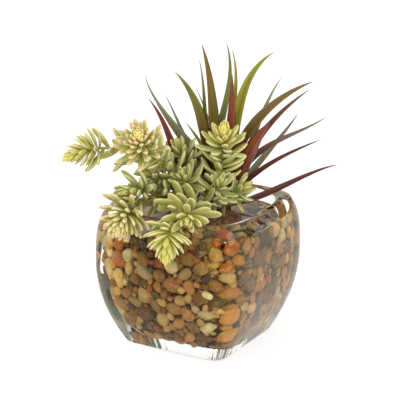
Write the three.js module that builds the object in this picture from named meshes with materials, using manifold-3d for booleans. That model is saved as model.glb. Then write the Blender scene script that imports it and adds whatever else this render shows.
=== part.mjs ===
// A square glass bowl of river pebbles set in clear resin, planted with a bush of pale sedum
// and one spiky rosette of long green and red leaves.
//
// Millimetres, +Z up. The origin is the centre of the bowl's flat base, and the bowl's four
// faces look along +X, -X, +Y and -Y. The planting is laid out in its own axes, across, away
// and up, which are the bowl's X, Y and Z turned by PLANTING_TURN about the upright axis.
import * as THREE from "three";
import { mergeVertices } from "three/addons/utils/BufferGeometryUtils.js";
import Module from "manifold-3d";

const wasm = await Module();
wasm.setup();

// ---- Driving dimensions ----
const BOWL_HEIGHT = 120;
const BASE_HALF = 47.3; // half the width across flats, at the base, the belly and the rim
const BELLY_HALF = 70;
const RIM_HALF = 61.6;
const BELLY_HEIGHT = 69;
const WALL = 5;
const FLOOR = 8;
const FLOOR_ROUND = 19; // radius where the cavity's floor turns up into its wall
const LIP_ROUND = 2.4;
const BASE_CHAMFER = 1.2;
const GAP = 0.3; // left between solids that rest on each other

const BED_TOP = 103; // top of the fill between its pebbles
const BED_CLEARANCE = 0.9; // from the wall's true curve, so that its flat facets stay clear too
const PEBBLE_SINK = 4.5; // how deep the creases between pebbles go
const PLANTING_TURN = THREE.MathUtils.degToRad(30.4);
const PLUG = { across: 2, away: -2, halfAcross: 34, halfAway: 27, bottom: 82, top: 111 };
const PEG_DEPTH = 18; // how far a stem stands in its hole
const STEM_RADIUS = 1.6;
const HOLE_PLAY = 0.46; // at a hole's corners

const GOLDEN_ANGLE = THREE.MathUtils.degToRad(137.508);

// ---- Seeded draws ----
function seeded(seed) {
  let state = seed;
  return (low, high) => {
    state = (state * 16807) % 2147483647;
    return low + ((high - low) * state) / 2147483647;
  };
}

// ---- Solids ----
const lerp = THREE.MathUtils.lerp;
const vec = (x, y, z) => new THREE.Vector3(x, y, z);

// A closed skin through rings of equally many points, ended by a fan to a point at each end.
function skin(rings, start, end) {
  const count = rings[0].length;
  const points = [start, ...rings.flat(), end];
  const last = points.length - 1;
  const at = (ring, i) => 1 + ring * count + (i % count);
  const index = [];
  for (let i = 0; i < count; i++) {
    index.push(0, at(0, i + 1), at(0, i));
    index.push(at(rings.length - 1, i), at(rings.length - 1, i + 1), last);
    for (let r = 0; r + 1 < rings.length; r++) {
      index.push(at(r, i), at(r, i + 1), at(r + 1, i + 1));
      index.push(at(r, i), at(r + 1, i + 1), at(r + 1, i));
    }
  }
  return new THREE.BufferGeometry().setFromPoints(points).setIndex(index);
}

function solidOf(geometry) {
  const bare = geometry.clone();
  bare.deleteAttribute("normal");
  bare.deleteAttribute("uv");
  const merged = mergeVertices(bare, 1e-4);
  const mesh = new wasm.Mesh({
    numProp: 3,
    vertProperties: merged.attributes.position.array,
    triVerts: new Uint32Array(merged.index.array),
  });
  return new wasm.Manifold(mesh);
}

function geometryOf(solid) {
  const mesh = solid.getMesh();
  const positions = new THREE.BufferAttribute(mesh.vertProperties, 3);
  const index = new THREE.BufferAttribute(mesh.triVerts, 1);
  return new THREE.BufferGeometry().setAttribute("position", positions).setIndex(index);
}

// Joins solids, then keeps the largest body, so that scraps and sealed hollows go.
function fuse(solids) {
  const joined = solids.reduce((sum, next) => sum.add(next));
  const bodies = joined.decompose();
  return bodies.reduce((best, next) => (next.volume() > best.volume() ? next : best));
}

// ---- The bowl's form: soft squares, |x|^n + |y|^n = half^n, that swell and close with height ----
function outerHalf(z) {
  if (z < BELLY_HEIGHT) {
    const down = (BELLY_HEIGHT - z) / BELLY_HEIGHT;
    return lerp(BELLY_HALF, BASE_HALF, down ** 1.83);
  }
  const up = (z - BELLY_HEIGHT) / (BOWL_HEIGHT - BELLY_HEIGHT);
  return lerp(BELLY_HALF, RIM_HALF, up ** 3.8);
}

const outerSquareness = (z) => lerp(8.7, 5.9, Math.min(1, z / (0.45 * BOWL_HEIGHT)) ** 0.7);
// The cavity is rounder on plan than the bowl, so the glass is thickest in its corners.
const innerSquareness = (z) => lerp(2.3, 2.95, Math.min(1, z / (0.75 * BOWL_HEIGHT)));

function innerHalf(z) {
  const below = Math.max(0, FLOOR + FLOOR_ROUND - z) / FLOOR_ROUND;
  const tuck = FLOOR_ROUND * (1 - Math.sqrt(Math.max(0, 1 - below * below)));
  return outerHalf(z) - WALL - tuck;
}

function softSquareRing(half, squareness, z, count) {
  const bend = (value) => Math.sign(value) * Math.abs(value) ** (2 / squareness);
  return Array.from({ length: count }, (_, i) => {
    const turn = (2 * Math.PI * i) / count;
    return vec(half * bend(Math.cos(turn)), half * bend(Math.sin(turn)), z);
  });
}

// How far the soft square reaches from the axis in the direction of turn.
function softSquareReach(half, squareness, turn) {
  const sum = Math.abs(Math.cos(turn)) ** squareness + Math.abs(Math.sin(turn)) ** squareness;
  return half / sum ** (1 / squareness);
}

function makeBowl() {
  const count = 32;
  const ring = (half, squareness, z) => softSquareRing(half, squareness, z, count);
  const outer = (z) => ring(outerHalf(z), outerSquareness(z), z);
  const inner = (z) => ring(innerHalf(z), innerSquareness(z), z);
  const lipSquareness = (outerSquareness(BOWL_HEIGHT) + innerSquareness(BOWL_HEIGHT)) / 2;
  const shoulder = BOWL_HEIGHT - LIP_ROUND;
  const nearTop = BOWL_HEIGHT - 0.3 * LIP_ROUND;
  const rings = [
    ring(BASE_HALF - BASE_CHAMFER, outerSquareness(0), 0),
    ...[BASE_CHAMFER, 12, 28, 46, 64, 82, 100, shoulder].map(outer),
    ring(outerHalf(nearTop) - 0.3 * LIP_ROUND, outerSquareness(nearTop), nearTop),
    ring(outerHalf(BOWL_HEIGHT) - WALL / 2, lipSquareness, BOWL_HEIGHT),
    ring(innerHalf(nearTop) + 0.3 * LIP_ROUND, innerSquareness(nearTop), nearTop),
    ...[shoulder, 100, 82, 64, 46, 28, 18, 11.5].map(inner),
    ring(innerHalf(FLOOR), innerSquareness(FLOOR), FLOOR),
  ];
  return skin(rings, vec(0, 0, 0), vec(0, 0, FLOOR));
}

// ---- The pebble bed: cobbled sides, pebbles on top, and a pit for the planting plug ----
const BED_ROWS = 15;
const BED_COLUMNS = 56;
const BED_BOTTOM = FLOOR + GAP;
const PEBBLE_THICK = 0.79; // half a pebble's thickness and width, for its nominal radius
const PEBBLE_WIDE = 1.03;
const TOP_PEBBLE_CREST = 2; // above BED_TOP
const SIDE_PEBBLE_CREST = 1.6;
const PIT_TOP = BED_TOP + 20; // where the cutter for the plug's pit ends, clear of the bed
const PLUG_PLAY = GAP + 0.1; // round the plug, in its pit
const THROWS = [
  { onTop: false, tries: 90, small: 6.6, large: 8.2, back: 0, closeness: 0.92 },
  { onTop: false, tries: 2600, small: 4.6, large: 6, back: 0.6, closeness: 0.9 },
  { onTop: true, tries: 60, small: 6, large: 7.4, back: 0, closeness: 0.95 },
];

const wallAt = (turn, z) => softSquareReach(innerHalf(z), innerSquareness(z), turn);

// The point that lies depth inside the cavity's wall, and the wall's outward direction there.
function wallPlace(turn, z, depth) {
  const here = (t, h) => vec(wallAt(t, h) * Math.cos(t), wallAt(t, h) * Math.sin(t), h);
  const around = here(turn + 0.01, z).sub(here(turn - 0.01, z));
  const above = here(turn, Math.min(z + 0.5, BOWL_HEIGHT)).sub(here(turn, Math.max(z - 0.5, FLOOR + 0.01)));
  const out = around.cross(above).normalize();
  return { point: here(turn, z).addScaledVector(out, -depth), out };
}

// Pebbles are thrown in one by one, large ones first, and each stays where it clears the others.
function throwPebbles() {
  const draw = seeded(909);
  const clamp = THREE.MathUtils.clamp;
  const pebbles = [];
  for (const { onTop, tries, small, large, back, closeness } of THROWS) {
    for (let i = 0; i < tries; i++) {
      const radius = draw(small, large);
      const turn = draw(0, 2 * Math.PI);
      const far = draw(0, 1);
      let pebble;
      if (onTop) {
        const reach = (wallAt(turn, BED_TOP) - radius) * Math.sqrt(0.1 + 0.9 * far);
        const top = BED_TOP + TOP_PEBBLE_CREST - draw(0, 0.6);
        const point = vec(reach * Math.cos(turn), reach * Math.sin(turn), top - PEBBLE_THICK * radius);
        pebble = { point, out: vec(0, 0, 1) };
      } else {
        const crest = BED_TOP + SIDE_PEBBLE_CREST;
        const level = clamp(draw(FLOOR + 2, BED_TOP + 1), FLOOR + 0.8 * radius, crest - 0.9 * radius);
        pebble = wallPlace(turn, level, GAP + 0.84 * radius + back * far);
        pebble.point.z = clamp(pebble.point.z, FLOOR + 0.85 * radius, crest - 0.8 * radius);
      }
      const inPit = onTop && plugShare(pebble.point, 0.7 * radius) < 1;
      const room = (other) =>
        pebble.point.distanceTo(other.point) - (radius + other.radius) * closeness;
      if (!inPit && pebbles.every((other) => room(other) > 0)) pebbles.push({ ...pebble, radius, onTop });
    }
  }
  return pebbles;
}

// How far the bed's side stands back from the wall: as far as the pebble that lies there.
function standBack(pebbles, wall) {
  const depths = pebbles.map(({ point, out, radius }) => {
    const offset = wall.clone().sub(point);
    const forward = offset.dot(out);
    const sideways = Math.sqrt(Math.max(0, offset.lengthSq() - forward ** 2)) / (PEBBLE_WIDE * radius);
    const near = sideways < 1 && offset.length() < 2 * radius;
    return near ? forward - PEBBLE_THICK * radius * Math.sqrt(1 - sideways ** 2) : PEBBLE_SINK;
  });
  return THREE.MathUtils.clamp(Math.min(...depths), BED_CLEARANCE, PEBBLE_SINK);
}

// A net of points over the bed's side, each row half a step round from the one below it.
function cobbledSides(pebbles) {
  const atWall = pebbles.filter(({ onTop }) => !onTop);
  const rings = Array.from({ length: BED_ROWS }, (_, row) => {
    const z = lerp(BED_BOTTOM, BED_TOP, row / (BED_ROWS - 1));
    return Array.from({ length: BED_COLUMNS }, (_, column) => {
      const turn = (2 * Math.PI * (column - row / 2)) / BED_COLUMNS;
      return wallPlace(turn, z, standBack(atWall, wallPlace(turn, z, 0).point)).point;
    });
  });
  return skin(rings, vec(0, 0, BED_BOTTOM), vec(0, 0, BED_TOP));
}

// Where the planting's own axes put a point, in the bowl's axes.
const turned = (x, y, z) => vec(x, y, z).applyAxisAngle(vec(0, 0, 1), PLANTING_TURN);

// 1 on the plug's edge, less inside it; grow widens the plug.
function plugShare(point, grow) {
  const local = point.clone().applyAxisAngle(vec(0, 0, 1), -PLANTING_TURN);
  const across = (local.x - PLUG.across) / (PLUG.halfAcross + grow);
  const away = (local.y - PLUG.away) / (PLUG.halfAway + grow);
  return Math.hypot(across, away);
}

function topPebble({ point, radius }, i) {
  const pebble = new THREE.IcosahedronGeometry(1, 0);
  pebble.scale(1.15 * PEBBLE_WIDE * radius, PEBBLE_WIDE * radius, PEBBLE_THICK * radius);
  return pebble.rotateZ(i * GOLDEN_ANGLE).translate(...point.toArray());
}

function plugRing(share, z, count, grow = 0) {
  return Array.from({ length: count }, (_, i) => {
    const turn = (2 * Math.PI * i) / count;
    const across = PLUG.across + share * (PLUG.halfAcross + grow) * Math.cos(turn);
    const away = PLUG.away + share * (PLUG.halfAway + grow) * Math.sin(turn);
    return vec(across, away, z);
  });
}

function makeBed() {
  const count = 20;
  const levels = [PLUG.bottom - GAP, PIT_TOP];
  const rings = levels.map((z) => plugRing(1, z, count, PLUG_PLAY));
  const pit = skin(rings, ...levels.map((z) => vec(PLUG.across, PLUG.away, z)));
  pit.rotateZ(PLANTING_TURN);
  const pebbles = throwPebbles();
  const onTop = pebbles.filter((pebble) => pebble.onTop).map(topPebble);
  return geometryOf(fuse([cobbledSides(pebbles), ...onTop].map(solidOf)).subtract(solidOf(pit)));
}

// ---- The planting ----
// Each sedum spray is a cubic curve from its hole: root, two handles and tip, in mm across, away, up.
// stemLeaves stand along the stem, and headLeaves crowd its last headLength millimetres, each
// slimness times as wide as a plain leaf.
const ROOT_LEVEL = 109;
const SPRAYS = [
  {
    name: "sedum_far_left", seed: 11, root: [-16, 2],
    handles: [[-16, 4, 150], [-69, -8, 181]], tip: [-105, -27, 165],
    stemLeaves: 22, headLeaves: 46, headLength: 26, leaf: 24, headLeaf: 20, slimness: 0.8,
  },
  {
    name: "sedum_high_left", seed: 12, root: [-8, -5],
    handles: [[-14, -4, 154], [-48, -6, 156]], tip: [-48, -46, 187],
    stemLeaves: 26, headLeaves: 56, headLength: 19, leaf: 24, headLeaf: 26, slimness: 0.7,
  },
  {
    name: "sedum_upright", seed: 13, root: [13, -10],
    handles: [[12, -9, 134], [22, -2, 160]], tip: [20, -21, 183],
    stemLeaves: 28, headLeaves: 34, headLength: 19, leaf: 23, headLeaf: 25, slimness: 0.9,
  },
  {
    name: "sedum_open_rosette", seed: 14, root: [2, -16],
    handles: [[2, -18, 128], [-9, -42, 125]], tip: [-9, -67, 126],
    stemLeaves: 10, headLeaves: 18, headLength: 8, leaf: 26, headLeaf: 31, slimness: 0.88,
  },
  {
    name: "sedum_left_over_rim", seed: 15, root: [-20, -7],
    handles: [[-22, -9, 142], [-58, -31, 129]], tip: [-63, -60, 117],
    stemLeaves: 20, headLeaves: 60, headLength: 19, leaf: 23, headLeaf: 27, slimness: 0.68,
  },
  {
    name: "sedum_front_over_rim", seed: 16, root: [-7, -15],
    handles: [[-10, -20, 142], [-24, -62, 136]], tip: [-26, -84, 102],
    stemLeaves: 12, headLeaves: 44, headLength: 18, leaf: 22, headLeaf: 23, slimness: 0.78,
  },
  {
    name: "sedum_middle", seed: 17, root: [-2, 4],
    handles: [[-2, 4, 132], [-10, 3, 146]], tip: [-16, 1, 163],
    stemLeaves: 22, headLeaves: 14, headLength: 12, leaf: 22, headLeaf: 23, slimness: 0.85,
  },
  {
    name: "sedum_left_middle", seed: 18, root: [-14, -2],
    handles: [[-14, -4, 132], [-26, -10, 138]], tip: [-41, -19, 147],
    stemLeaves: 22, headLeaves: 14, headLength: 12, leaf: 22, headLeaf: 23, slimness: 0.85,
  },
  {
    name: "sedum_right_middle", seed: 19, root: [9, -14],
    handles: [[9, -15, 126], [14, -18, 130]], tip: [17, -28, 142],
    stemLeaves: 14, headLeaves: 14, headLength: 10, leaf: 22, headLeaf: 22, slimness: 0.85,
  },
  {
    name: "sedum_low_left", seed: 20, root: [-14, -13],
    handles: [[-15, -15, 130], [-36, -24, 140]], tip: [-56, -42, 140],
    stemLeaves: 18, headLeaves: 20, headLength: 12, leaf: 24, headLeaf: 26, slimness: 0.85,
  },
  {
    name: "sedum_back", seed: 21, root: [-12, 12],
    handles: [[-12, 13, 128], [-24, 24, 142]], tip: [-30, 34, 146],
    stemLeaves: 14, headLeaves: 14, headLength: 11, leaf: 22, headLeaf: 22, slimness: 0.85,
  },
  {
    name: "sedum_centre", seed: 22, root: [-3, -8],
    handles: [[-3, -10, 126], [-8, -16, 136]], tip: [-13, -27, 148],
    stemLeaves: 16, headLeaves: 14, headLength: 10, leaf: 22, headLeaf: 22, slimness: 0.85,
  },
  {
    name: "sedum_right", seed: 23, root: [20, -8],
    handles: [[20, -9, 122], [27, -12, 128]], tip: [36, -18, 136],
    stemLeaves: 10, headLeaves: 12, headLength: 9, leaf: 22, headLeaf: 22, slimness: 0.85,
  },
];

// The spiky rosette's leaves: each is a cubic curve from the crown, with how far it twists about
// its own length in degrees, and its greatest width.
const CROWN = { across: 23, away: 9, bottom: 91, level: 112, radius: 4 };
const SPIKES = [
  { handles: [[15, 12, 154], [-37, 19, 185]], tip: [-45, 30, 219], turn: -40, width: 6 },
  { handles: [[-26, 10, 136], [-17, 8, 175]], tip: [-42, 5, 206], turn: -60, width: 8 },
  { handles: [[6, 12, 144], [-17, 14, 168]], tip: [-35, 16, 198], turn: -50, width: 6.5 },
  { handles: [[-4, 18, 140], [-12, 29, 170]], tip: [-29, 45, 199], turn: -25, width: 5.5 },
  { handles: [[3, 7, 146], [12, 7, 196]], tip: [-20, 10, 227], turn: -60, width: 10 },
  { handles: [[-1, 14, 154], [9, 23, 197]], tip: [0, 38, 231], turn: -15, width: 5.5 },
  { handles: [[18, 20, 145], [12, 35, 175]], tip: [-3, 55, 202], turn: -5, width: 4.5 },
  { handles: [[10, 7, 157], [16, 9, 208]], tip: [2, 14, 250], turn: -50, width: 9.5 },
  { handles: [[-5, 11, 158], [38, 15, 205]], tip: [22, 22, 250], turn: 0, width: 7 },
  { handles: [[14, 11, 155], [40, 21, 205]], tip: [27, 40, 240], turn: 0, width: 6 },
  { handles: [[24, 9, 151], [28, 6, 189]], tip: [27, 0, 228], turn: 0, width: 9.5 },
  { handles: [[29, 11, 153], [24, 13, 221]], tip: [62, 16, 242], turn: 50, width: 9.5 },
  { handles: [[41, 13, 150], [49, 24, 190]], tip: [70, 45, 214], turn: 25, width: 6 },
  { handles: [[19, 11, 163], [57, 15, 204]], tip: [95, 20, 216], turn: 45, width: 9 },
  { handles: [[35, 10, 158], [59, 7, 190]], tip: [91, 0, 215], turn: 60, width: 7 },
  { handles: [[42, 16, 141], [69, 29, 163]], tip: [84, 48, 181], turn: 30, width: 6 },
  { handles: [[37, 13, 169], [76, 13, 166]], tip: [106, 10, 189], turn: 50, width: 6 },
  { handles: [[41, 12, 144], [80, 6, 161]], tip: [100, -10, 175], turn: 55, width: 5 },
  { handles: [[57, 15, 115], [90, 18, 140]], tip: [117, 20, 144], turn: 45, width: 6 },
  { handles: [[33, 7, 140], [43, 0, 172]], tip: [58, -12, 190], turn: -50, width: 13 },
  { handles: [[33, 9, 136], [28, 7, 161]], tip: [41, 2, 184], turn: -50, width: 9 },
  { handles: [[25, 25, 138], [24, 45, 160]], tip: [20, 68, 178], turn: 0, width: 6.5 },
  { handles: [[35, 26, 134], [47, 45, 152]], tip: [60, 66, 168], turn: 10, width: 6.5 },
  { handles: [[16, 27, 135], [5, 43, 154]], tip: [-12, 60, 170], turn: -10, width: 6.5 },
];

// ---- What is in the way: balls that stand for everything planted, each with its owner ----
const taken = [];
const CLEARANCE = 0.5;

function claim(owner, point, radius) {
  taken.push({ owner, point, radius });
}

// The bowl's wall and the bed, seen from the planting's own axes.
function hitsBowl(point, radius) {
  const room = radius + CLEARANCE;
  if (point.z > BOWL_HEIGHT + room) return false;
  const turn = Math.atan2(point.y, point.x) + PLANTING_TURN;
  const z = Math.min(point.z, BOWL_HEIGHT);
  const reach = Math.hypot(point.x, point.y);
  const outside = reach > softSquareReach(outerHalf(z), outerSquareness(z), turn) + 1.3 * room;
  const inside = reach < softSquareReach(innerHalf(z), innerSquareness(z), turn) - 1.3 * room;
  const bedClear = point.z > PLUG.top + 1 + room;
  return !(outside || (inside && bedClear));
}

function isFree(owner, balls) {
  const others = taken.filter((ball) => ball.owner !== owner);
  const clears = (ball, other) =>
    ball.point.distanceTo(other.point) > ball.radius + other.radius + CLEARANCE;
  return balls.every(
    (ball) => !hitsBowl(ball.point, ball.radius) && others.every((other) => clears(ball, other)),
  );
}

// ---- Sedum ----
function stemOf(spray) {
  const root = vec(...spray.root, ROOT_LEVEL);
  const handles = spray.handles.map((handle) => vec(...handle));
  const curve = new THREE.CubicBezierCurve3(root, ...handles, vec(...spray.tip));
  // An upright plane through root and tip gives every leaf its turn about the stem.
  const sideways = vec(0, 0, 1).cross(vec(...spray.tip).sub(root)).normalize();
  return { curve, sideways, length: curve.getLength() };
}

const stemRadius = (share) => STEM_RADIUS * (1 - 0.35 * share);

function frameAt(stem, share) {
  const along = stem.curve.getTangent(share);
  const up = stem.sideways.clone().cross(along).normalize();
  const side = along.clone().cross(up).normalize();
  return { at: stem.curve.getPoint(share), along, up, side };
}

const UPRIGHT = { up: vec(1, 0, 0), side: vec(0, 1, 0) }; // the frame of a ring that lies flat

function ringAround({ at, up, side }, halfSide, halfUp, sides) {
  return Array.from({ length: sides }, (_, i) => {
    const turn = (2 * Math.PI * i) / sides;
    const point = at.clone().addScaledVector(up, halfUp * Math.cos(turn));
    return point.addScaledVector(side, halfSide * Math.sin(turn));
  });
}

function stemSolid(stem) {
  const sides = 4;
  const steps = Math.round(stem.length / 10);
  const root = stem.curve.getPoint(0);
  const foot = root.clone().setZ(root.z - PEG_DEPTH);
  const rings = [ringAround({ at: foot, ...UPRIGHT }, STEM_RADIUS, STEM_RADIUS, sides)];
  for (let i = 0; i < steps; i++) {
    const share = i / steps;
    const frame = i ? frameAt(stem, share) : { at: root, ...UPRIGHT };
    rings.push(ringAround(frame, stemRadius(share), stemRadius(share), sides));
  }
  return skin(rings, foot, stem.curve.getPoint(1));
}

// One leaf: a plump spindle that leaves the stem at an angle and curls a little towards its tip.
function leafAxis(stem, share, turn, lean, length) {
  const { at, along, up, side } = frameAt(stem, share);
  const outward = up.clone().multiplyScalar(Math.cos(turn)).addScaledVector(side, Math.sin(turn));
  const aim = (angle) =>
    along.clone().multiplyScalar(Math.cos(angle)).addScaledVector(outward, Math.sin(angle));
  const bend = aim(lean).multiplyScalar(length * 0.55).add(at);
  const tip = aim(lean - 0.3).multiplyScalar(length * 0.45).add(bend);
  return { root: at, bend, tip, face: aim(lean - Math.PI / 2) };
}

function leafPoint(leaf, share) {
  const first = leaf.root.clone().lerp(leaf.bend, share);
  const second = leaf.bend.clone().lerp(leaf.tip, share);
  return first.lerp(second, share);
}

function leafBalls(leaf) {
  return [0.35, 0.55, 0.75, 0.95].map((share) => ({
    point: leafPoint(leaf, share),
    radius: leaf.width * (share > 0.9 ? 0.2 : 0.42),
  }));
}

// Leaves spiral up the stem, then crowd its head. One that would cross a neighbour
// swings aside, then grows shorter, and is left out if nothing fits.
const LEAF_SWINGS = [0, 0.4, -0.4, 0.8, -0.8];
const LEAF_TRIES = [1, 0.8, 0.62, 0.45].flatMap((scale) => LEAF_SWINGS.map((swing) => [swing, scale]));

function leavesOf(spray, stem) {
  const draw = seeded(spray.seed);
  const leaves = [];
  const total = spray.stemLeaves + spray.headLeaves;
  const headStart = 1 - spray.headLength / stem.length;
  const firstShare = 9 / stem.length;
  for (let i = 0; i < total; i++) {
    const inHead = i >= spray.stemLeaves;
    const climb = inHead ? (i - spray.stemLeaves) / (spray.headLeaves - 1) : i / spray.stemLeaves;
    const share = inHead ? lerp(headStart, 0.985, climb) : lerp(firstShare, headStart, climb);
    const lean = inHead ? lerp(1.5, 0.1, climb ** 0.85) : draw(0.85, 1.2);
    const size = inHead ? spray.headLeaf * lerp(1, 0.5, climb) : spray.leaf * draw(0.85, 1.1);
    const start = i * GOLDEN_ANGLE + draw(-0.2, 0.2);
    const fitting = LEAF_TRIES.map(([swing, scale]) => {
      const leaf = leafAxis(stem, share, start + swing, lean, size * scale);
      const width = (2.4 + 0.17 * size * scale) * (inHead ? spray.slimness : 1);
      return { ...leaf, width, inHead };
    }).find((leaf) => isFree(spray.name, leafBalls(leaf)));
    if (fitting) leaves.push(fitting);
  }
  leaves.forEach((leaf) => leafBalls(leaf).forEach(({ point, radius }) => claim(spray.name, point, radius)));
  return leaves;
}

function leafSolid(leaf) {
  const widest = leaf.inHead ? 0.75 : 0.55;
  const at = leafPoint(leaf, widest);
  const along = leafPoint(leaf, widest + 0.05).sub(leafPoint(leaf, widest - 0.05)).normalize();
  const side = leaf.face.clone().cross(along).normalize();
  const up = along.clone().cross(side);
  const half = leaf.width / 2;
  return skin([ringAround({ at, up, side: side.negate() }, half, 0.62 * half, 3)], leaf.root, leaf.tip);
}

// ---- Spiky rosette ----
const SPIKE_THICKNESS = 1.5;
const CHANNEL = 0.55; // how deep a leaf's channel is, for half its width

function spikeCurve(spike) {
  const tip = vec(...spike.tip);
  const crown = vec(CROWN.across, CROWN.away, CROWN.level);
  const outward = tip.clone().sub(crown).setZ(0).normalize();
  const root = crown.addScaledVector(outward, 0.3 * CROWN.radius);
  const handles = spike.handles.map((handle) => vec(...handle));
  const side = vec(0, 0, 1).cross(outward).normalize();
  return { curve: new THREE.CubicBezierCurve3(root, ...handles, tip), side };
}

// Where a leaf is, and which way it runs, its channel opens and its width lies.
function spikeFrame({ curve, side }, turn, share) {
  const along = curve.getTangent(share);
  const face = along.clone().cross(side).normalize().applyAxisAngle(along, THREE.MathUtils.degToRad(turn));
  return { at: curve.getPoint(share), face, across: face.clone().cross(along) };
}

// A leaf's width along its length: it holds over the lower part, longer on a broad leaf, then
// draws out to a fine point.
function spikeWidth({ width }, share) {
  const hold = THREE.MathUtils.clamp(0.05 * width + 0.1, 0.3, 0.6);
  return width * (0.5 + 0.5 * Math.min(1, share / 0.2)) * (1 - Math.max(0, share - hold) / (1 - hold)) ** 0.8;
}

function spikeSolid(spike) {
  const line = spikeCurve(spike);
  const rings = [0, 0.2, 0.42, 0.62, 0.78, 0.91].map((share) => {
    const { at, face, across } = spikeFrame(line, spike.turn, share);
    const half = spikeWidth(spike, share) / 2;
    const thick = SPIKE_THICKNESS * lerp(1, 0.55, share);
    const keel = at.clone().addScaledVector(face, -CHANNEL * half - thick / 2);
    const trough = at.clone().addScaledVector(face, -CHANNEL * half + thick / 2);
    return [trough, at.clone().addScaledVector(across, -half), keel, at.clone().addScaledVector(across, half)];
  });
  const start = rings[0].reduce((sum, point) => sum.add(point), vec(0, 0, 0)).multiplyScalar(0.25);
  return skin(rings, start, line.curve.getPoint(1));
}

function claimSpike(spike) {
  const line = spikeCurve(spike);
  const steps = 40;
  for (let i = 1; i <= steps; i++) {
    const { at, face, across } = spikeFrame(line, spike.turn, i / steps);
    const half = spikeWidth(spike, i / steps) / 2;
    for (const offset of half > 2 ? [-0.65, 0, 0.65] : [0]) {
      const point = at.clone().addScaledVector(across, offset * half);
      point.addScaledVector(face, -CHANNEL * half * (1 - Math.abs(offset)));
      claim("spiky_rosette", point, Math.max(0.9, 0.5 * half));
    }
  }
}

function crownSolid() {
  const sides = 10;
  const middle = (z) => vec(CROWN.across, CROWN.away, z);
  const ring = (radius, z) => ringAround({ at: middle(z), ...UPRIGHT }, radius, radius, sides);
  const rings = [
    ring(CROWN.radius, CROWN.bottom),
    ring(CROWN.radius, CROWN.level - 1),
    ring(1.25 * CROWN.radius, CROWN.level + 3),
    ring(0.8 * CROWN.radius, CROWN.level + 9),
  ];
  return skin(rings, middle(CROWN.bottom), middle(CROWN.level + 14));
}

// ---- Planting plug: a low brown mound with a plain hole for every stem ----
function makePlug() {
  const draw = seeded(23);
  const count = 16;
  const roughen = (ring, wander) =>
    ring.map((point) => point.clone().add(vec(draw(-wander, wander), draw(-wander, wander), draw(-wander, 0))));
  const rings = [
    plugRing(1, PLUG.bottom, count),
    plugRing(1, BED_TOP + 1, count),
    roughen(plugRing(0.93, BED_TOP + 3, count), 0.8),
    roughen(plugRing(0.75, PLUG.top - 3, count), 1.2),
    roughen(plugRing(0.5, PLUG.top - 1, count), 1.4),
    roughen(plugRing(0.25, PLUG.top, count), 1.2),
  ];
  const mound = skin(
    rings,
    vec(PLUG.across, PLUG.away, PLUG.bottom),
    vec(PLUG.across, PLUG.away, PLUG.top - 1),
  );
  const holes = [
    ...SPRAYS.map(({ root }) => [...root, ROOT_LEVEL - PEG_DEPTH, STEM_RADIUS, 4]),
    [CROWN.across, CROWN.away, CROWN.bottom, CROWN.radius, 10],
  ].map(([across, away, bottom, radius, sides]) => {
    const depth = PLUG.top + 10 - bottom;
    const hole = new THREE.CylinderGeometry(radius + HOLE_PLAY, radius + HOLE_PLAY, depth, sides);
    return solidOf(hole.rotateX(Math.PI / 2).translate(across, away, bottom - GAP + depth / 2));
  });
  return geometryOf(holes.reduce((plug, hole) => plug.subtract(hole), solidOf(mound)));
}

// ---- Materials ----
const plain = (color, roughness) => new THREE.MeshStandardMaterial({ color, roughness, metalness: 0 });
const glass = plain(0xdfe8e2, 0.03);
glass.transparent = true;
glass.opacity = 0.35;
const pebbleStone = plain(0xa8835a, 0.45);
const soil = plain(0x3a2618, 0.9);
const sedumLeaf = plain(0xa9b070, 0.55);
const spikyLeaf = plain(0x77803c, 0.4);

// ---- The part ----
const part = new THREE.Group();
const planting = new THREE.Group();
planting.rotation.z = PLANTING_TURN;
part.add(planting);

function addNode(parent, name, geometry, material) {
  const mesh = new THREE.Mesh(geometry, material);
  mesh.name = name;
  parent.add(mesh);
}

addNode(part, "glass_bowl", makeBowl(), glass);
addNode(part, "pebble_bed", makeBed(), pebbleStone);
addNode(planting, "planting_plug", makePlug(), soil);

const rosette = fuse([crownSolid(), ...SPIKES.map(spikeSolid)].map(solidOf));
addNode(planting, "spiky_rosette", geometryOf(rosette), spikyLeaf);
SPIKES.forEach(claimSpike);

const stems = SPRAYS.map(stemOf);
SPRAYS.forEach((spray, i) => {
  const steps = Math.round(stems[i].length / 2);
  for (let k = 0; k <= steps; k++) claim(spray.name, stems[i].curve.getPoint(k / steps), STEM_RADIUS);
});
SPRAYS.forEach((spray, i) => {
  const leaves = leavesOf(spray, stems[i]);
  const solids = [stemSolid(stems[i]), ...leaves.map(leafSolid)].map(solidOf);
  addNode(planting, spray.name, geometryOf(fuse(solids)), sedumLeaf);
});

export default part;
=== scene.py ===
# A square glass bowl of pebbles set in clear resin, planted with sedum and one spiky rosette.
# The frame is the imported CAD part. The planting rule below is the part's own, so each fine leaf
# lies where its CAD leaf does. Lengths are millimetres until a mesh is made, then metres.
import math

import bmesh
import bpy
import numpy as np
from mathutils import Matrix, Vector


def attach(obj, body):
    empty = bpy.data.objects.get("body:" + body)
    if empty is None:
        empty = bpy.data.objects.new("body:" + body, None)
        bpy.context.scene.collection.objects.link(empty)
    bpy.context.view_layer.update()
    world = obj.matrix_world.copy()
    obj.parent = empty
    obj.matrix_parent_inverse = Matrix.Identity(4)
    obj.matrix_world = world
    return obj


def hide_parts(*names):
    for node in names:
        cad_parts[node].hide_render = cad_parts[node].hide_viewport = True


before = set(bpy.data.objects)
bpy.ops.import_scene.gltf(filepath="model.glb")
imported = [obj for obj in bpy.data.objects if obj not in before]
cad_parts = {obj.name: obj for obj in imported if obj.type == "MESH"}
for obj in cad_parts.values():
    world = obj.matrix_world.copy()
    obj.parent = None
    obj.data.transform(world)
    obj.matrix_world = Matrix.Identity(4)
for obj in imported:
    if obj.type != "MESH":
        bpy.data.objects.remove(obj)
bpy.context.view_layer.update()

MM = 0.001

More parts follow.
